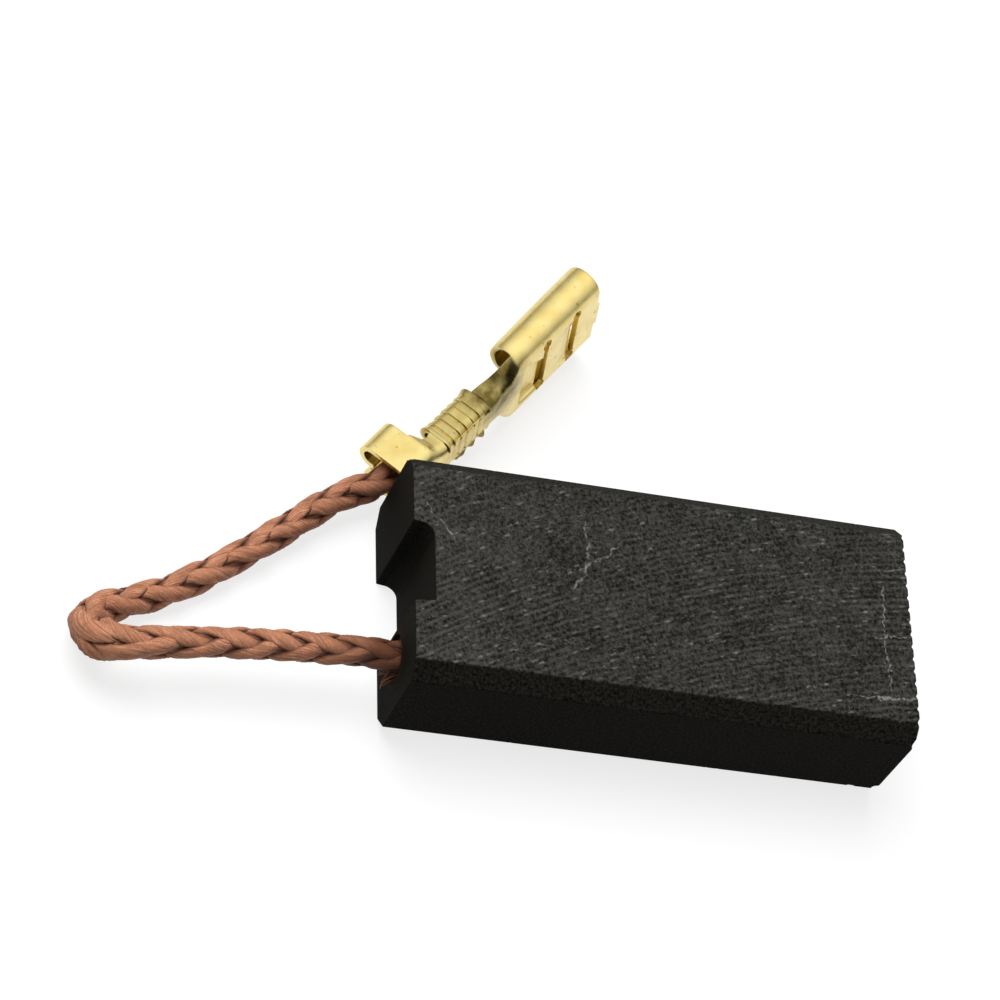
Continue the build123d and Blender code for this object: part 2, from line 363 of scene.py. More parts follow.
def clouds_group():
    """Node group: a noise with so many grains to the millimetre, spread to run from 0 at Low to 1 at High."""
    group, given, mask = new_group("Clouds", ("Place",), ("Scale", "Low", "High"))
    value = noise(group, given["Place"], given["Scale"], 3.0, 0.6)
    group.links.new(remap(group, value, given["Low"], given["High"]), mask)


def near_group():
    """Node group: 0 beyond the distance Far from Centre, rising to Share at the distance Close."""
    group, given, mask = new_group("Near", ("Place", "Centre"), ("Far", "Close", "Share"))
    reach = away(group, given["Place"], given["Centre"])
    group.links.new(remap(group, reach, given["Far"], given["Close"], 0.0, given["Share"]), mask)


def clouds(tree, place, scale, low=0.35, high=0.65):
    """Mask of soft clouds of one scale, from the shared group."""
    inputs = {"Place": place, "Scale": scale, "Low": low, "High": high}
    return add_node(tree, "Group", {"node_tree": bpy.data.node_groups["Clouds"]}, inputs).outputs[0]


def near(tree, place, centre, far, close, share=1.0):
    """Mask round one point given in millimetres, from the shared group."""
    centre = tuple(float(c) for c in centre)
    inputs = {"Place": place, "Centre": centre, "Far": far, "Close": close, "Share": share}
    return add_node(tree, "Group", {"node_tree": bpy.data.node_groups["Near"]}, inputs).outputs[0]


def millimetres(tree):
    """Object coordinates in millimetres, and their three parts."""
    place = add_node(tree, "TexCoord").outputs["Object"]
    scaled = add_node(tree, "VectorMath", {"operation": "SCALE"}, {0: place, "Scale": 1 / MM}).outputs[0]
    parts = add_node(tree, "SeparateXYZ", None, {0: scaled}).outputs
    return scaled, parts


def stretched(tree, place, factors):
    """A place with its parts multiplied by the factors."""
    return add_node(tree, "VectorMath", {"operation": "MULTIPLY"}, {0: place, 1: factors}).outputs[0]


def away(tree, place, centre):
    """Distance of a place from a centre, either of them a socket or three numbers."""
    return add_node(tree, "VectorMath", {"operation": "DISTANCE"}, {0: place, 1: centre}).outputs["Value"]


def facing(tree, axis):
    """Mask of the faces that look along an axis of the object, either way."""
    normal = add_node(tree, "TexCoord").outputs["Normal"]
    part = add_node(tree, "SeparateXYZ", None, {0: normal}).outputs[axis]
    return remap(tree, calc(tree, "ABSOLUTE", part), 0.80, 0.95)


def bumped(tree, shader, height, strength, distance_mm):
    """Relief from a height between 0 and 1."""
    inputs = {"Height": height, "Strength": strength, "Distance": distance_mm * MM}
    bump = add_node(tree, "Bump", None, inputs)
    tree.links.new(bump.outputs[0], shader.inputs["Normal"])


def scratch_mask(tree, parts, start, end, width):
    """Mask of a thin scratch between two points of the top face, given in millimetres."""
    run = Vector(end) - Vector(start)
    length = run.length
    run /= length
    dx = calc(tree, "SUBTRACT", parts[0], start[0])
    dy = calc(tree, "SUBTRACT", parts[1], start[1])
    reach = calc(tree, "MULTIPLY_ADD", dx, run[0], calc(tree, "MULTIPLY", dy, run[1]))
    aside = calc(tree, "SUBTRACT", calc(tree, "MULTIPLY", dx, run[1]), calc(tree, "MULTIPLY", dy, run[0]))
    on_line = remap(tree, calc(tree, "ABSOLUTE", aside), width, 0.0)
    from_middle = calc(tree, "ABSOLUTE", calc(tree, "SUBTRACT", reach, length / 2))
    return calc(tree, "MULTIPLY", on_line, remap(tree, from_middle, length / 2, length / 2 - scratch_fade))


def carbon_material():
    """Pressed carbon graphite: dark and granular, ground in arcs over the big faces, with painted light and
    shade.
    """
    material, _, links, shader = new_material("ground_carbon")
    tree = material.node_tree
    place, parts = millimetres(tree)
    big_face, end_face = facing(tree, 2), facing(tree, 0)

    # Grinding marks: arcs about one far centre
    flat = add_node(tree, "CombineXYZ", None, {0: parts[0], 1: parts[1]}).outputs[0]
    reach = away(tree, flat, (*grinding_centre, 0.0))
    dx = calc(tree, "SUBTRACT", parts[0], grinding_centre[0])
    dy = calc(tree, "SUBTRACT", parts[1], grinding_centre[1])
    swept = calc(tree, "MULTIPLY", calc(tree, "ARCTAN2", dx, dy), grinding_radius)
    polar = add_node(tree, "CombineXYZ", None, {0: reach, 1: swept, 2: parts[2]}).outputs[0]
    drawn_out = stretched(tree, polar, (1.0, 0.10, 0.0))
    sway = calc(tree, "MULTIPLY", noise(tree, place, 0.5), grinding_sway)
    phase = calc(tree, "MULTIPLY_ADD", reach, 2 * math.pi / grinding_pitch, sway)
    wave = calc(tree, "MULTIPLY_ADD", calc(tree, "SINE", phase), 0.5, 0.5)
    marks = calc(tree, "MULTIPLY", calc(tree, "POWER", wave, 1.6), clouds(tree, drawn_out, 2.4, 0.25, 0.60))
    marks = calc(tree, "ADD", marks, calc(tree, "MULTIPLY", clouds(tree, drawn_out, 4.5), 0.5))
    patchy = calc(tree, "MULTIPLY_ADD", clouds(tree, place, 0.12), 0.10, 0.05)
    patchy = calc(tree, "MULTIPLY", patchy, remap(tree, away(tree, flat, plain_patch), 3.0, 9.0, 0.25, 1.0))
    marks = calc(tree, "MULTIPLY", calc(tree, "SUBTRACT", marks, 0.5), patchy)

    # Grains, and light specks drawn out along the marks
    grain = noise(tree, place, 5.0, 4.0, 0.8)
    gathered = calc(tree, "ADD", calc(tree, "ADD", grain, -0.025), marks)
    gathered = calc(tree, "MULTIPLY_ADD", clouds(tree, place, 0.35), 0.05, gathered)
    # Painted light: the ground faces paler towards the slotted end
    gathered = calc(tree, "ADD", gathered, remap(tree, parts[0], *painted_light_towards_slot_end, 0.035, 0.0))
    short = stretched(tree, polar, (1.0, 0.40, 1.0))
    cells = add_node(tree, "TexVoronoi", {"feature": "F1"}, {"Vector": short, "Scale": 3.3}).outputs
    chance = add_node(tree, "SeparateColor", None, {0: cells["Color"]}).outputs
    speck = remap(tree, cells["Distance"], 0.36, 0.08)
    for share in (remap(tree, gathered, 0.40, 0.58), remap(tree, chance[0], 0.30, 0.95)):
        speck = calc(tree, "MULTIPLY", speck, share)
    pit = clouds(tree, place, 1.3, 0.70, 0.74)

    # Scratches over the upper face, wavering and broken
    jitter = add_node(tree, "TexNoise", None, {"Vector": place, "Scale": 1.6, "Detail": 3.0}).outputs["Color"]
    middled = {0: jitter, 1: (-0.5, -0.5, -0.5)}
    jitter = add_node(tree, "VectorMath", {"operation": "ADD"}, middled).outputs[0]
    moved = {0: jitter, 1: (scratch_jitter, scratch_jitter, 0.0), 2: place}
    shaken = add_node(tree, "VectorMath", {"operation": "MULTIPLY_ADD"}, moved).outputs[0]
    shaken = add_node(tree, "SeparateXYZ", None, {0: shaken}).outputs
    upper = remap(tree, parts[2], block_thickness - 0.1, block_thickness - 0.02)
    broken = remap(tree, noise(tree, place, 4.5, 3.0), 0.36, 0.56)
    scratched = 0.0
    for start, end, width in scratches:
        scratched = calc(tree, "MAXIMUM", scratched, scratch_mask(tree, shaken, start, end, width))
    scratched = calc(tree, "MULTIPLY", calc(tree, "MULTIPLY", scratched, broken), upper)

    # Colour: the pressed sides and ends are smoother than the ground faces, and are darker partly in their
    # own colour and partly as painted shade
    colour = blend(tree, remap(tree, gathered, 0.395, 0.645), carbon_dark, carbon_grey)
    colour = blend(tree, calc(tree, "MULTIPLY", speck, 0.75), colour, carbon_speck)
    colour = blend(tree, pit, colour, carbon_pit)
    smooth = blend(tree, remap(tree, grain, 0.40, 0.64), carbon_side_and_shade_dark, carbon_side_and_shade)
    smooth = blend(tree, calc(tree, "MULTIPLY", end_face, 0.8), smooth, carbon_end_and_shade)
    # Painted shade: the slot and the slotted end face darker towards the bottom
    at_end = remap(tree, parts[0], slot_floor + 0.15, slot_floor + 0.05)
    inside = remap(tree, calc(tree, "ABSOLUTE", parts[1]), block_width / 2 - 0.1, block_width / 2 - 0.3)
    low_down = remap(tree, parts[2], *end_shade_heights, 0.15, 0.75)
    end_shade = calc(tree, "MULTIPLY", calc(tree, "MULTIPLY", at_end, inside), low_down)
    smooth = blend(tree, end_shade, smooth, carbon_side_and_shade_dark)
    dust = calc(tree, "MULTIPLY", clouds(tree, place, 2.0), near(tree, place, hole_mouth, 2.2, 1.3, 0.7))
    smooth = blend(tree, dust, smooth, copper_dust)
    colour = blend(tree, big_face, smooth, colour)
    colour = blend(tree, scratched, colour, carbon_scratch)
    links.new(colour, shader.inputs["Base Color"])
    shader.inputs["Roughness"].default_value = 0.8
    shader.inputs["Specular IOR Level"].default_value = 0.04
    height = calc(tree, "ADD", calc(tree, "MULTIPLY", grain, 0.8), calc(tree, "MULTIPLY", marks, 1.5))
    relief = calc(tree, "MULTIPLY", height, remap(tree, big_face, 0, 1, 0.35, 1.0))
    bumped(tree, shader, relief, 0.6, 0.08)
    return material


def powder_material():
    """Tamped copper powder: dull, brown and coarse-grained."""
    material, _, links, shader = new_material("tamped_copper_powder")
    tree = material.node_tree
    place, _ = millimetres(tree)
    grain = clouds(tree, place, 9.0, 0.3, 0.7)
    links.new(blend(tree, grain, powder_dark, powder_light), shader.inputs["Base Color"])
    shader.inputs["Roughness"].default_value = 0.8
    bumped(tree, shader, grain, 0.9, 0.1)
    return material


def copper_material():
    """Bare copper wire, dulled, with painted shade in the gaps between the strands."""
    material, _, links, shader = new_material("bare_copper_wire")
    tree = material.node_tree
    place, _ = millimetres(tree)
    lay = add_node(tree, "Attribute", {"attribute_name": "lay"}).outputs["Vector"]
    depth = add_node(tree, "SeparateXYZ", None, {0: lay}).outputs[2]
    streak = noise(tree, lay, 1.0, 3.0, 0.6)
    colour = blend(tree, remap(tree, streak, 0.35, 0.68), copper_dull, copper_bright)
    dull = calc(tree, "MULTIPLY", clouds(tree, place, 0.9, 0.45, 0.75), 0.45)
    colour = blend(tree, dull, colour, copper_brown)
    # The lead darker near the hole and near the barrel's mouth
    colour = blend(tree, near(tree, place, hole_mouth, 5.0, 1.6, 0.92), colour, copper_dark_at_ends)
    barrel_mouth = on_terminal([(barrel_rear, 0, lead_height_in_barrel)])[0] / MM
    colour = blend(tree, near(tree, place, barrel_mouth, 3.5, 0.5, 0.7), colour, copper_dark_at_ends)
    fuzz = clouds(tree, place, 6.0, 0.3, 0.7)
    colour = blend(tree, calc(tree, "MULTIPLY_ADD", fuzz, -0.4, 0.4), colour, copper_brown)
    # Painted shade where the strands lie deep in the plait
    colour = blend(tree, remap(tree, depth, 0.55, 0.05, 0.0, 0.9), colour, copper_gap_shade)
    links.new(colour, shader.inputs["Base Color"])
    shader.inputs["Metallic"].default_value = 0.25
    shader.inputs["Roughness"].default_value = 0.62
    bumped(tree, shader, calc(tree, "ADD", streak, calc(tree, "MULTIPLY", fuzz, 0.5)), 0.6, 0.05)
    return material


def brass_material():
    """Bright rolled brass strip with a soft grain, faint freckles, and painted shade in the trough behind the
    rolls and over the crimp.
    """
    material, _, links, shader = new_material("rolled_brass")
    tree = material.node_tree
    place, _ = millimetres(tree)
    colour = blend(tree, clouds(tree, place, 0.55, 0.40, 0.75), brass_bright, brass_warm)
    # Painted shade in the trough behind the rolls and over the crimp, broken up by clouds
    trough_and_crimp_shade = calc(tree, "MULTIPLY_ADD", clouds(tree, place, 1.1), 0.35, 0.62)
    in_trough = near(tree, place, on_terminal([trough_middle])[0] / MM, 3.2, 1.4)
    on_crimp = near(tree, place, on_terminal([crimp_middle])[0] / MM, 3.4, 2.0, 0.30)
    trough_and_crimp_shade = calc(tree, "MULTIPLY", calc(tree, "MAXIMUM", in_trough, on_crimp), trough_and_crimp_shade)
    colour = blend(tree, trough_and_crimp_shade, colour, brass_freckle_and_shade)
    freckles = calc(tree, "MULTIPLY", clouds(tree, place, 1.9, 0.64, 0.72), 0.5)
    colour = blend(tree, freckles, colour, brass_freckle_and_shade)
    links.new(colour, shader.inputs["Base Color"])
    shader.inputs["Metallic"].default_value = 1.0
    roughness = calc(tree, "MULTIPLY_ADD", clouds(tree, place, 1.6, 0.3, 0.7), 0.12, 0.26)
    links.new(roughness, shader.inputs["Roughness"])
    bumped(tree, shader, noise(tree, place, 0.8, 2.0), 0.25, 0.12)
    return material


clouds_group()
near_group()
carbon_finish = carbon_material()
powder_finish = powder_material()
copper_finish = copper_material()
brass_finish = brass_material()


# Lead


def spline_points(name, control_points, resolution):
    """Points of a smooth open curve with those control points."""
    curve = bpy.data.curves.new(name, "CURVE")
    curve.dimensions = "3D"
    spline = curve.splines.new("NURBS")
    spline.points.add(len(control_points) - 1)
    for point, place in zip(spline.points, control_points):
        point.co = (*place, 1)
    spline.order_u = 3
    spline.use_endpoint_u = True
    spline.resolution_u = resolution
    holder = bpy.data.objects.new(name, curve)
    mesh = bpy.data.meshes.new_from_object(holder)
    points = np.array([tuple(v.co) for v in mesh.vertices])
    bpy.data.objects.remove(holder)
    bpy.data.curves.remove(curve)
    bpy.data.meshes.remove(mesh)
    return points


def evenly(points, step):
    """The line again with even spacing, and the distance of each point along it."""
    reach = np.concatenate([[0], np.cumsum(np.linalg.norm(np.diff(points, axis=0), axis=1))])
    at = np.linspace(0, reach[-1], int(reach[-1] / step) + 1)
    return np.stack([np.interp(at, reach, points[:, k]) for k in range(3)], 1), at


def line_frames(points):
    """Tangent, upward normal and sideways binormal at each point of a line that never points straight up."""
    tangent = np.gradient(points, axis=0)
    tangent /= np.linalg.norm(tangent, axis=1, keepdims=True)
    up = np.array([0.0, 0.0, 1.0])
    normal = up - (tangent @ up)[:, None] * tangent
    normal /= np.linalg.norm(normal, axis=1, keepdims=True)
    return tangent, normal, np.cross(tangent, normal)


def wander(at, seed, length, count=7):
    """Smooth random run from about -1 to 1, a sum of sine waves with random phases."""
    draw = np.random.default_rng(seed)
    waves = draw.uniform(0.5, 2.2, count)
    phases = draw.uniform(0, 2 * np.pi, count)
    return np.sin(at[:, None] / length * waves * 2 * np.pi + phases).sum(1) / math.sqrt(count)


def smooth_step(low, high, values):
    """0 below low, 1 above high and a smooth rise between them."""
    share = np.clip((values - low) / (high - low), 0, 1)
    return share * share * (3 - 2 * share)


def strand_surface(line, at, turning, start_angle, seed):
    """One of the plaited strands as rings of points.

    Its centre winds round the line once a pitch. It lies outside in two opposite quarters of the turn and
    inside in the other two, where the strands that wind the other way cover it. Its section is a flat oval
    outside, a thicker one as it dives, and is scalloped by its wires, which are twisted with their own lay.
    """
    mm = at / MM
    tangent, normal, binormal = line_frames(line)
    past_fold = smooth_step(fold_start, fold_end, mm)
    turned = plait_turn_at_block + (plait_turn_at_terminal - plait_turn_at_block) * past_fold
    wind = turning * (2 * np.pi * mm / plait_pitch + 0.16 * wander(mm, 3, 26.0)) + start_angle
    angle = wind + turned
    outside = turning * np.cos(2 * wind)
    outside = outside * (1.5 - 0.5 * outside**2)
    top = np.clip(outside, 0, 1)
    swell = 1 + fold_swell * np.exp(-(((mm - lead_root - fold_middle) / fold_swell_length) ** 2))
    radius = strand_reach + strand_reach_swing * outside
    radius = radius * (1 + 0.035 * wander(mm, seed + 11, 4.0)) * swell
    half_thick = strand_half_thick - strand_thinning * np.abs(outside)
    half_thick = half_thick * (1 + 0.07 * wander(mm, seed + 23, 3.0)) * swell
    half_wide = strand_half_wide + strand_widening * np.abs(outside) + strand_widening_on_top * top
    half_wide = half_wide * (1 + 0.08 * wander(mm, seed + 37, 3.0)) * swell
    hug = strand_hug * top

    outward = np.cos(angle)[:, None] * normal + np.sin(angle)[:, None] * binormal
    sideways = np.cross(tangent, outward)
    column = np.linspace(0, 2 * np.pi, wire_lobes * points_per_lobe, endpoint=False)
    lay = 2 * np.pi * mm[:, None] / wires_lay_pitch + 0.4 * wander(mm, seed + 51, 9.0)[:, None]
    around = column[None, :] + lay
    lobe = np.abs(np.cos(wire_lobes * 0.5 * column))[None, :]
    loose = wire_slack * np.stack([wander(mm + 9 * k, seed + 60 + k, 2.2) for k in range(wire_lobes)], 1)
    scallop = 0.93 + wire_height * lobe**0.7 + np.repeat(loose, points_per_lobe, 1)
    u = half_thick[:, None] * np.cos(around) * scallop
    v = half_wide[:, None] * np.sin(around) * scallop
    rise = radius[:, None] + u - hug[:, None] * v**2
    rings = (
        line[:, None, :]
        + rise[..., None] * outward[:, None, :] * MM
        + v[..., None] * sideways[:, None, :] * MM
    )
    rings[..., 2] = np.maximum(rings[..., 2], strand_lowest * MM)
    # How deep a point lies in the plait, which the copper's painted shade reads
    depth = np.clip((rise - 0.55) / 0.45, 0, 1)
    lay_place = np.stack(np.broadcast_arrays(mm[:, None] * 0.5 + seed, column[None, :] * 6.0, depth), -1)
    return rings, lay_place


def capped_tube(rings, first):
    """Points and faces of a closed tube: its rings, and a fan over each end."""
    rows, columns, _ = rings.shape
    points = np.concatenate([rings.reshape(-1, 3), rings[:1].mean(1), rings[-1:].mean(1)])
    sides = grid_faces(rows, columns, True, first)
    j = np.arange(columns)
    after = (j + 1) % columns
    low = np.stack([after, j, np.full(columns, rows * columns)], 1) + first
    last = (rows - 1) * columns
    high = np.stack([last + j, last + after, np.full(columns, rows * columns + 1)], 1) + first
    return points, sides, low, high


def three_sided(sides, low, high):
    """The faces of a closed tube as triangles alone."""
    return np.concatenate([sides[:, :3], sides[:, [0, 2, 3]], low, high])


def tubes_piece(name, tubes, material):
    """One piece of several closed tubes, each given as its rings and the lay attribute of its points."""
    points, lays, faces, count = [], [], [], 0
    for rings, lay_place in tubes:
        tube, sides, low, high = capped_tube(rings, count)
        points.append(tube)
        lays.append(np.concatenate([lay_place.reshape(-1, 3), lay_place[0, :1], lay_place[-1, :1]]))
        faces += sides.tolist() + low.tolist() + high.tolist()
        count += len(tube)
    piece = new_mesh_piece(name, np.concatenate(points), faces, material)
    lay = piece.data.attributes.new("lay", "FLOAT_VECTOR", "POINT")
    lay.data.foreach_set("vector", np.concatenate(lays).ravel())
    return piece


def plaited_lead():
    """Eight strands, four winding each way, along the route's smooth line."""
    control = [tuple(c * MM for c in p) for p in lead_route_mm]
    ends = barrel_rear - lead_run_up, barrel_front - lead_end_in_barrel
    control += [tuple(p) for p in on_terminal([(x, 0, lead_height_in_barrel) for x in ends])]
    line, at = evenly(spline_points("lead_route", control, 24), MM / stations_per_mm)
    strands = []
    for turning in (1, -1):
        for number in range(strands_each_way):
            start = (number + 0.25) * 2 * np.pi / strands_each_way
            strands.append(strand_surface(line, at, turning, start, 10 * number + 5 * turning + 100))
    piece = tubes_piece("plaited_lead", strands, copper_finish)
    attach(piece, "root")
    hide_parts("shunt_lead")


def frayed_wires():
    """A tuft of broken wires that hangs out of the hole's lower edge.

    Each is a thin tube along a straight line from its root to its tip, bulged by half a sine wave.
    """
    draw = np.random.default_rng(12)
    at = np.linspace(0, 1, 16)[:, None]
    turn = np.linspace(0, 2 * np.pi, 7)[:-1]
    tubes = []
    for number in range(fray_count):
        root = np.array(fray_root) + [0.0, draw.uniform(-0.5, 0.4), draw.uniform(-0.15, 0.35)]
        tip = root + [draw.uniform(-1.3, -0.85), draw.uniform(-0.85, 0.0), draw.uniform(-1.1, -0.1)]
        bulge = np.array([draw.uniform(-0.5, -0.1), draw.uniform(-0.2, 0.2), draw.uniform(-0.1, 0.35)])
        line = root + (tip - root) * at + bulge * np.sin(np.pi * at)
        _, normal, binormal = line_frames(line)
        ring = np.cos(turn)[None, :, None] * normal[:, None] + np.sin(turn)[None, :, None] * binormal[:, None]
        rings = (line[:, None] + fray_wire_radius * ring) * MM
        lay_place = np.stack(np.broadcast_arrays(at * 2 + number, turn[None, :], 0.5), -1)
        tubes.append((rings, lay_place))
    piece = tubes_piece("frayed_wires", tubes, copper_finish)
    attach(piece, "root")
    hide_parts("shunt_lead")


def crimped_strands():
    """The lead's wires, gathered through the neck, squeezed in the crimp and cut off beyond it.

    Each is a thin tube. Their middles lie on a sunflower spiral, which narrows to a flat oval in the crimp.
    """
    columns = 10
    draw = np.random.default_rng(8)
    x = np.linspace(barrel_front - 0.6, crimp_front + 0.55, 60)
    squeeze = smooth_step(barrel_front - 0.3, crimp_rear + 0.2, x)
    out = smooth_step(crimp_front - 0.2, crimp_front + 0.5, x)
    half_wide = 0.78 + 0.06 * squeeze - 0.10 * out
    half_high = 0.78 - 0.32 * squeeze - 0.12 * out
    height = 2.0 - 1.06 * squeeze - 0.10 * out
    turn = np.linspace(0, 2 * np.pi, columns, endpoint=False)
    tubes = []
    for number in range(crimped_wires):
        radius = math.sqrt((number + 0.5) / crimped_wires)
        angle = number * math.pi * (3 - math.sqrt(5)) + 0.25 * x + 0.12 * wander(x, 300 + number, 4.0)
        end = crimp_front + draw.uniform(0.25, 0.55)
        stations = np.minimum(x, end)
        y = half_wide * radius * np.cos(angle)
        z = height + half_high * radius * np.sin(angle)
        wire = crimped_wire_radius - crimped_wire_squeeze * squeeze
        ring_y = y[:, None] + wire[:, None] * np.cos(turn)
        ring_z = z[:, None] + wire[:, None] * np.sin(turn)
        places = np.stack(np.broadcast_arrays(stations[:, None], ring_y, ring_z), -1)
        rings = on_terminal(places.reshape(-1, 3)).reshape(places.shape)
        lay_place = np.stack(np.broadcast_arrays(x[:, None] * 0.5 + number, turn[None, :] * 2.0, 0.7), -1)
        tubes.append((rings, lay_place))
    piece = tubes_piece("crimped_strands", tubes, copper_finish)
    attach(piece, "root")
    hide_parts("shunt_lead")


# Receptacle terminal


def fold(run, half, corner, wall, turn):
    """Place on the folded skin at a distance from its middle line, as (across, out of the floor)."""
    way, run = np.sign(run), np.abs(run)
    flat = half - corner
    left = run - flat
    bend = np.clip(left / corner, 0, np.pi / 2)
    left = left - corner * np.pi / 2
    up = np.clip(left, 0, wall)
    left = left - wall
    over = np.clip(left / turn, 0, np.pi)
    down = np.maximum(left - turn * np.pi, 0)
    y = np.minimum(run, flat) + corner * np.sin(bend) - turn * (1 - np.cos(over))
    z = corner * (1 - np.cos(bend)) + up + turn * np.sin(over) - down
    return way * y, z


def between(x, places, values):
    """Smooth run through values at places, level where they turn (a monotone cubic)."""
    places, values = np.asarray(places, float), np.asarray(values, float)
    slope = np.diff(values) / np.diff(places)
    product = slope[:-1] * slope[1:]
    turning = np.where(product > 0, 2 * product / (slope[:-1] + slope[1:] + 1e-12), 0)
    tangent = np.concatenate([[0], turning, [0]])
    k = np.clip(np.searchsorted(places, x) - 1, 0, len(slope) - 1)
    width = places[k + 1] - places[k]
    t = np.clip((x - places[k]) / width, 0, 1)
    return (
        (1 + 2 * t) * (1 - t) ** 2 * values[k] + t * (1 - t) ** 2 * width * tangent[k]
        + t**2 * (3 - 2 * t) * values[k + 1] + t**2 * (t - 1) * width * tangent[k + 1]
    )


def terminal_stations():
    """Stations along the strip: closer in the crimp and where the floor changes its width."""
    marks = (
        (barrel_rear, 0.16), (barrel_front, 0.09), (crimp_rear, 0.055), (crimp_front, 0.08),
        (roll_rear, 0.11), (3.0, 0.22), (roll_front, 0.15),
    )
    ends = [place for place, _ in marks[1:]] + [roll_front + stub_length]
    runs = [
        np.linspace(place, end, max(2, round((end - place) / step) + 1))[:-1]
        for (place, step), end in zip(marks, ends)
    ]
    return np.concatenate(runs + [[ends[-1]]])


def pressed(x, y, run):
    """Depth to which the tools pressed the floor in, at places on it in millimetres.

    A hollow behind the first window with one slanting side, the curled front edge of the bridge between the
    windows, and a dimple in the trough behind the rolls.
    """
    first, second = window_edges
    slant = y - 0.55 * (x - first)
    hollow = smooth_step(-0.9, -0.35, slant) * smooth_step(2.35, 2.05, y)
    hollow = hollow * smooth_step(0.0, 0.5, x) * (x < first - window_width / 2)
    curl = smooth_step(first + 1.2, second - window_width, x) * (x < second - window_width / 2)
    curl = curl * (x > first) * smooth_step(2.3, 1.9, np.abs(y))
    dimple = np.exp(-(((x + 1.75) / 0.55) ** 2) - ((run + 1.1) / 0.55) ** 2)
    return hollow_depth * hollow + bridge_curl * curl + 0.13 * dimple


def strip_sides(x, wing, step=0.0):
    """The folded skin at stations x moved by a step: (run, across, out of the floor), a row for each station.

    The middle columns are the strip itself from end to end. The outer ones are its wings.
    """
    half, corner, height, rise = (
        between(x + step, strip_places, [section[k] for section in strip_sections])[:, None] for k in range(4)
    )
    strip_edge = half - corner + corner * np.arccos(np.clip(1 - height / corner, 0, 1))
    strip_edge = strip_edge + np.maximum(height - corner, 0)
    strip = np.linspace(0, 1, strip_columns // 2 + 1)
    share = np.linspace(0, 1, wing_columns + 1)[1:]
    sides = []
    for way, barrel_wing in ((-1, near_barrel_wing), (1, far_barrel_wing)):
        # Without wings the side goes straight up, and a roll turns over with the radius of its corner
        shapes = np.array([(9.0, 1.0, 0.0), barrel_wing, crimp_wing, (0.0, 1.0, roll_wing_end)])[wing]
        wall, turn, end = shapes.T[..., None]
        turn = np.where(wing[:, None] == roll_winged, corner, turn)
        wing_edge = half - corner + corner * np.pi / 2 + wall + turn * np.pi + end
        reach = strip_edge + share * np.where(wing[:, None] > wingless, wing_edge - strip_edge, 0)
        run = np.concatenate([strip * strip_edge, reach], 1)
        before = fold(run - 0.01, half, corner, wall, turn)
        after = fold(run + 0.01, half, corner, wall, turn)
        y, z = fold(run, half, corner, wall, turn)
        slope_y, slope_z = after[0] - before[0], after[1] - before[1]
        order = slice(None) if way > 0 else slice(None, None, -1)
        sides.append([part[:, order] for part in (run * way, y * way, z + rise, slope_y, slope_z * way)])
    return [np.concatenate([sides[0][k], sides[1][k][:, 1:]], 1) for k in range(5)]


def terminal_skin():
    """The folded strip as points in the terminal's frame and quads: outer side, inner side and rim.

    The inner side lies one sheet thickness inside the outer one, along its normal. The steps of the crimp
    tool are only in the outer side.
    """
    x = terminal_stations()
    zones = [x <= barrel_front + 1e-6, (x >= crimp_rear - 1e-6) & (x <= crimp_front + 1e-6),
             (x >= roll_rear - 1e-6) & (x <= roll_front + 1e-6)]
    wing = np.select(zones, [barrel_winged, crimp_winged, roll_winged], wingless)
    run, y, z, slope_y, slope_z = strip_sides(x, wing)
    nudge = 0.02
    before, after = strip_sides(x, wing, -nudge), strip_sides(x, wing, nudge)
    along = np.stack([np.full(y.shape, 2 * nudge), after[1] - before[1], after[2] - before[2]], -1)
    across = np.stack([np.zeros(y.shape), slope_y, slope_z], -1)
    normal = np.cross(across, along)
    normal /= np.linalg.norm(normal, axis=-1, keepdims=True) + 1e-12

    # The bell at either end of the crimp, and the steps in its outer side
    (rear_rise, rear_length), (front_rise, front_length) = bell_rear, bell_front
    bell = rear_rise * (1 - smooth_step(0, rear_length, x - crimp_rear))
    bell = bell + front_rise * smooth_step(-front_length, 0, x - crimp_front)
    bell = np.where(wing == crimp_winged, bell, 0)[:, None]
    inside = (x > crimp_rear + rear_length) & (x < crimp_front - front_length)
    places = np.broadcast_to(x[:, None], y.shape)
    steps = (x - crimp_rear) / crimp_step_pitch
    depth = crimp_step_depth * (1 + 0.35 * wander(np.floor(steps), 71, 1.0))
    tooth = np.where(inside, depth * (steps % 1.0), 0)[:, None]
    outer = np.stack([places, y, z], -1)
    inner = outer - normal * sheet
    for side, swell in ((outer, 1 + bell - tooth), (inner, 1 + bell)):
        side[..., 1] *= swell
        side[..., 2] = bell_middle + (side[..., 2] - bell_middle) * swell
        side[..., 2] += np.where(np.abs(y) < 2.9, pressed(places, y, run), 0) * (np.abs(z) < 1.0)

    columns = run.shape[1]
    quads = grid_faces(len(x), columns, False).reshape(len(x) - 1, columns - 1, 4)
    made = np.ones((len(x) - 1, columns - 1), bool)
    both = (wing[:-1] > wingless) & (wing[1:] == wing[:-1])
    made[:, :wing_columns] = made[:, -wing_columns:] = both[:, None]
    narrow = np.abs(run[-1]) <= stub_half_width + 0.05
    made[x[1:] > roll_front + 1e-6] = (narrow[:-1] & narrow[1:])[None, :]
    quads = quads[made]

    # The rim joins the two sides along every edge that only one quad has
    count = run.size
    start, end = quads.ravel(), np.roll(quads, -1, 1).ravel()
    alone = ~np.isin(start * count + end, end * count + start)
    start, end = start[alone], end[alone]
    rim = np.stack([end, start, start + count, end + count], 1)
    faces = np.concatenate([quads, quads[:, ::-1] + count, rim])
    return np.concatenate([outer.reshape(-1, 3), inner.reshape(-1, 3)]), faces


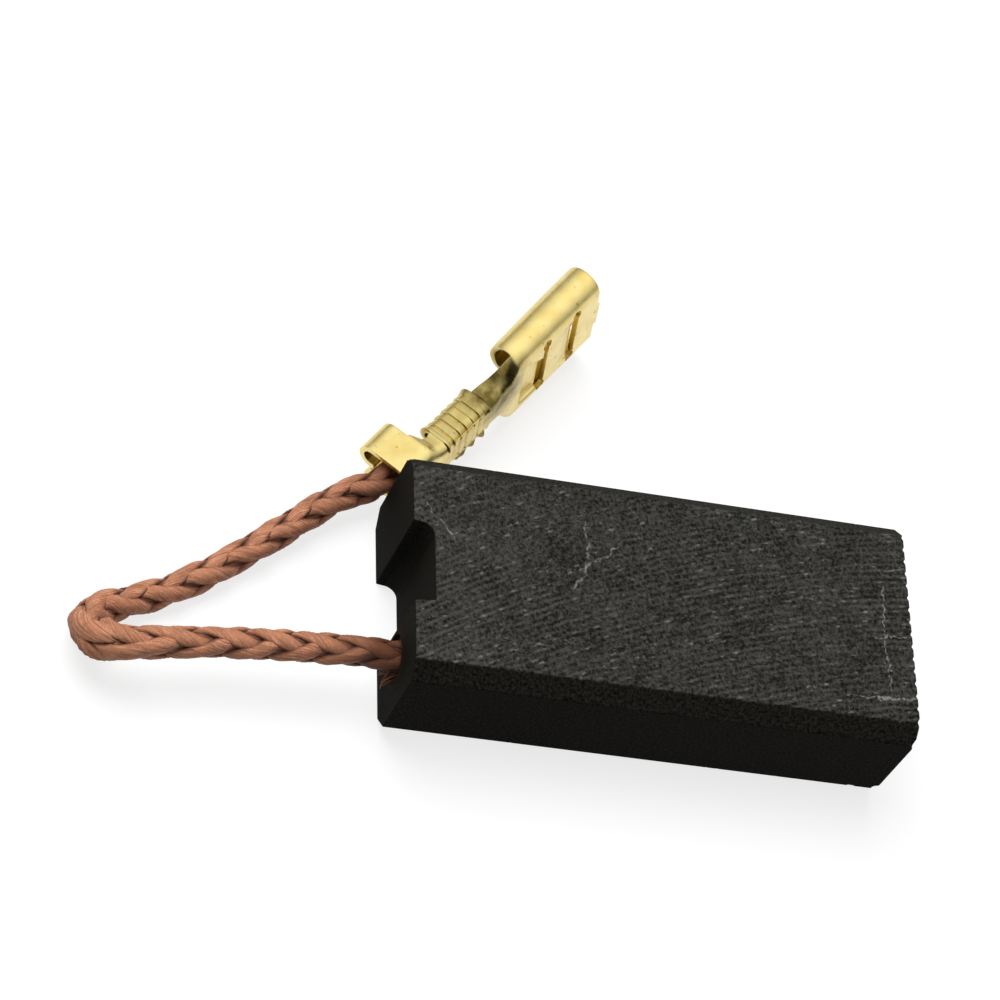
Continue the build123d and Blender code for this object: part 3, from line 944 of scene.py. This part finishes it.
def window_cutter():
    """The two windows in the floor: narrow slots with a round hole at each end, cut through the sheet.

    The outline of one window is two arcs about the slot's ends, and its two sides join the arcs.
    """
    neck = math.asin(window_width / 2 / window_end_radius)
    turn = np.linspace(neck - math.pi, math.pi - neck, 17)
    way = np.array([[1], [-1]])
    across = (way * (window_half_length + window_end_radius * np.cos(turn))).ravel()
    points, faces, count = [], [], len(across)
    for number, edge in enumerate(window_edges):
        along = (edge - window_width / 2 + way * window_end_radius * np.sin(turn)).ravel()
        heights = (window_cut_low, window_cut_high)
        points += [np.stack([along, across, np.full(count, z)], 1) for z in heights]
        low = 2 * count * number + np.arange(count)
        after = np.roll(low, -1)
        faces += [low.tolist(), (low + count)[::-1].tolist()]
        faces += np.stack([after, low, low + count, after + count], 1).tolist()
    return new_mesh_piece("windows", on_terminal(np.concatenate(points)), faces, brass_finish, False)


def settle(piece):
    """The piece's mesh with its modifiers worked in."""
    bpy.context.view_layer.update()
    shaped = bpy.data.meshes.new_from_object(piece.evaluated_get(bpy.context.evaluated_depsgraph_get()))
    old = piece.data
    piece.modifiers.clear()
    piece.data = shaped
    bpy.data.meshes.remove(old)


def folded_terminal():
    """The strip as a sheet of even thickness, with rounded edges and its windows."""
    points, faces = terminal_skin()
    piece = new_mesh_piece("folded_terminal", on_terminal(points), faces, brass_finish)
    shape = bmesh.new()
    shape.from_mesh(piece.data)
    bmesh.ops.delete(shape, geom=[v for v in shape.verts if not v.link_faces], context="VERTS")
    shape.to_mesh(piece.data)
    shape.free()
    edges = piece.modifiers.new("edges", "BEVEL")
    edges.width = strip_edge_rounding * MM
    edges.segments = 2
    edges.limit_method = "ANGLE"
    edges.angle_limit = math.radians(50)
    windows = window_cutter()
    cut = piece.modifiers.new("windows", "BOOLEAN")
    cut.object = windows
    cut.solver = "EXACT"
    settle(piece)
    bpy.data.objects.remove(windows)
    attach(piece, "root")
    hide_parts("receptacle_terminal")
    return piece


def crimp_flash():
    """Thin ragged fins that the crimping tool squeezed out along the two corners of the crimp's floor.

    Each is a strip whose width wanders along it, a wedge in section.
    """
    x = np.linspace(crimp_rear + 0.7, crimp_front - 0.1, 70)
    points, faces, count = [], [], 0
    for way, seed, reach in zip((1, -1), (5, 6), flash_reach):
        width = reach * np.clip(0.60 + 0.40 * wander(x, seed, 1.9), 0.15, 1.2)
        width = width * smooth_step(x[0] - 0.01, x[0] + 0.5, x) * smooth_step(x[-1] + 0.01, x[-1] - 0.3, x)
        root_y, root_z = flash_root
        tip_y, tip_z = root_y + 0.85 * width, root_z - 0.5 * width
        section = (
            (root_y - 0.10, root_z + 0.16), (root_y + 0.05, root_z - 0.03),
            (tip_y - 0.01, tip_z - 0.02), (tip_y + 0.01, tip_z + 0.02),
        )
        rings = np.stack([
            np.stack(np.broadcast_arrays(x, way * np.asarray(y), z), -1) for y, z in section
        ][::way], 1)
        tube, sides, low, high = capped_tube(rings, count)
        points.append(tube)
        faces.append(three_sided(sides, low, high))
        count += len(tube)
    places = on_terminal(np.concatenate(points))
    piece = new_mesh_piece("crimp_flash", places, np.concatenate(faces), brass_finish, False)
    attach(piece, "root")
    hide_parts("receptacle_terminal")


# Block


def chips():
    """Flat, many-sided lumps along the block's edges, to be cut out of it as small bites.

    Each is a ball of rings about the X direction with its corners drawn in at random, stretched to the length
    of its bite, and it stands so far out of the edge that only the bite's depth lies inside.
    """
    draw = np.random.default_rng(41)
    half_length, half_width = block_length / 2, block_width / 2
    top, side = block_thickness, half_width - block_chamfer
    # Edges: a point on each and its way out, as (Y, Z)
    edges = np.array([
        (side, top, 0.38, 0.92), (-side, top, -0.38, 0.92),
        (half_width, top - block_chamfer, 0.92, 0.38), (-half_width, top - block_chamfer, -0.92, 0.38),
        (-half_width, block_chamfer, -0.92, -0.38),
    ])
    # Bites: place along the edge, number of the edge, length and depth
    large = np.array([
        (14.9, 3, 0.55, 0.22), (14.9, 4, 0.5, 0.22), (15.4, 1, 0.5, 0.15), (half_length, 3, 0.5, 0.5),
        (half_length, 4, 0.6, 0.6), (half_length, 1, 0.5, 0.35), (-half_length, 0, 0.6, 0.25),
        (-half_length, 2, 0.6, 0.3),
    ])
    least, most = (-half_length, 0, 0.12, 0.03), (half_length, len(edges), 0.5, 0.10)
    small = draw.uniform(least, most, (small_chips, 4))
    x, edge, length, depth = np.concatenate([large, small]).T
    y, z, out_y, out_z = edges[edge.astype(int)].T
    thick = 0.6 * length + depth

    polar = np.linspace(0.4, np.pi - 0.4, 5)[:, None]
    turn = np.linspace(0, 2 * np.pi, 8, endpoint=False)[None, :]
    ball_y, ball_z = np.sin(polar) * np.cos(turn), np.sin(polar) * np.sin(turn)
    ball = np.stack(np.broadcast_arrays(-np.cos(polar), ball_y, ball_z), -1)
    tube, sides, low, high = capped_tube(ball, 0)
    drawn_in = draw.uniform(0.80, 1.0, (len(x), len(tube), 1))
    middle = np.stack([x, y + out_y * (thick - depth), z + out_z * (thick - depth)], -1)
    places = middle[:, None] + tube * drawn_in * np.stack([length, thick, thick], -1)[:, None]
    faces = three_sided(sides, low, high) + np.arange(len(x))[:, None, None] * len(tube)
    return new_mesh_piece("chips", places.reshape(-1, 3) * MM, faces.reshape(-1, 3), carbon_finish, False)


def worn_block():
    """The block with its edges a little rounded and chipped."""
    piece = bpy.data.objects.new("worn_block", nodes["carbon_block"].data.copy())
    bpy.context.scene.collection.objects.link(piece)
    shape = bmesh.new()
    shape.from_mesh(piece.data)
    bmesh.ops.remove_doubles(shape, verts=shape.verts, dist=1e-6)
    bmesh.ops.dissolve_limit(shape, angle_limit=math.radians(1), verts=shape.verts, edges=shape.edges)
    shape.to_mesh(piece.data)
    shape.free()
    piece.data.materials.clear()
    piece.data.materials.append(carbon_finish)
    edges = piece.modifiers.new("edges", "BEVEL")
    edges.width = edge_wear * MM
    edges.segments = 2
    edges.limit_method = "ANGLE"
    edges.angle_limit = math.radians(30)
    settle(piece)
    lumps = chips()
    cut = piece.modifiers.new("chips", "BOOLEAN")
    cut.object = lumps
    cut.solver = "EXACT"
    cut.use_self = True
    settle(piece)
    bpy.data.objects.remove(lumps)
    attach(piece, "root")
    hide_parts("carbon_block")


frayed_wires()
crimped_strands()
terminal = folded_terminal()
crimp_flash()
plaited_lead()
worn_block()
nodes["tamped_powder"].data.materials.clear()
nodes["tamped_powder"].data.materials.append(powder_finish)


# Floor, light and camera


def floor():
    """A pale floor: the camera and reflections see it white, apart from the object's shadow."""
    material, tree_nodes, links, shader = new_material("pale_floor")
    shader.inputs["Base Color"].default_value = (*[floor_colour] * 3, 1)
    shader.inputs["Roughness"].default_value = 1.0
    shader.inputs["Specular IOR Level"].default_value = 0.0
    rays = tree_nodes.new("ShaderNodeLightPath").outputs
    seen = calc(material.node_tree, "MAXIMUM", rays["Is Camera Ray"], rays["Is Glossy Ray"])
    links.new(calc(material.node_tree, "MULTIPLY", seen, floor_glow), shader.inputs["Emission Strength"])
    shader.inputs["Emission Color"].default_value = (1, 1, 1, 1)
    mesh = bpy.data.meshes.new("floor")
    corners = [(x * floor_half, y * floor_half, 0) for x, y in ((-1, -1), (1, -1), (1, 1), (-1, 1))]
    mesh.from_pydata(corners, [], [(0, 1, 2, 3)])
    piece = bpy.data.objects.new("floor", mesh)
    bpy.context.scene.collection.objects.link(piece)
    mesh.materials.append(material)


def area_light(name, place, target, size, power):
    """A round lamp that looks at its target and isn't seen in the brass."""
    light = bpy.data.lights.new(name, "AREA")
    light.shape = "DISK"
    light.size = size
    light.energy = power
    lamp = bpy.data.objects.new(name, light)
    lamp.location = place
    lamp.visible_glossy = False
    lamp.rotation_euler = (Vector(target) - Vector(place)).to_track_quat("-Z", "Y").to_euler()
    bpy.context.scene.collection.objects.link(lamp)


def camera():
    """The camera looks from its place at its target, turned so that its right side is the fitted one."""
    forward = (camera_target - camera_place).normalized()
    right = (camera_right - camera_right.dot(forward) * forward).normalized()
    up = right.cross(forward)
    turn = Matrix((right, up, -forward)).transposed().to_4x4()
    data = bpy.data.cameras.new("camera")
    data.sensor_fit = "HORIZONTAL"
    data.sensor_width = sensor_width_mm
    data.lens = camera_lens_mm
    data.clip_start = 0.01
    eye = bpy.data.objects.new("camera", data)
    eye.matrix_world = Matrix.Translation(camera_place) @ turn
    bpy.context.scene.collection.objects.link(eye)
    bpy.context.scene.camera = eye


def world():
    """A pale room: white to the camera, and brighter overhead than near the ground in reflections."""
    sky = bpy.data.worlds.new("studio")
    sky.use_nodes = True
    tree = sky.node_tree
    background = tree.nodes["Background"]
    direction = add_node(tree, "TexCoord").outputs["Generated"]
    height = add_node(tree, "SeparateXYZ", None, {0: direction}).outputs[2]
    rays = add_node(tree, "LightPath").outputs
    room = remap(tree, height, 0.05, 0.95, room_low, room_high)
    lit = calc(tree, "MULTIPLY", room, remap(tree, rays["Is Glossy Ray"], 0, 1, room_diffuse, 1.0))
    strength = calc(tree, "MAXIMUM", lit, rays["Is Camera Ray"])
    background.inputs["Color"].default_value = (1, 1, 1, 1)
    tree.links.new(strength, background.inputs["Strength"])
    bpy.context.scene.world = sky


floor()
area_light("key", key_place, (0, 0, 0), key_size, key_power)
world()
camera()
bpy.context.scene.view_settings.view_transform = "Standard"
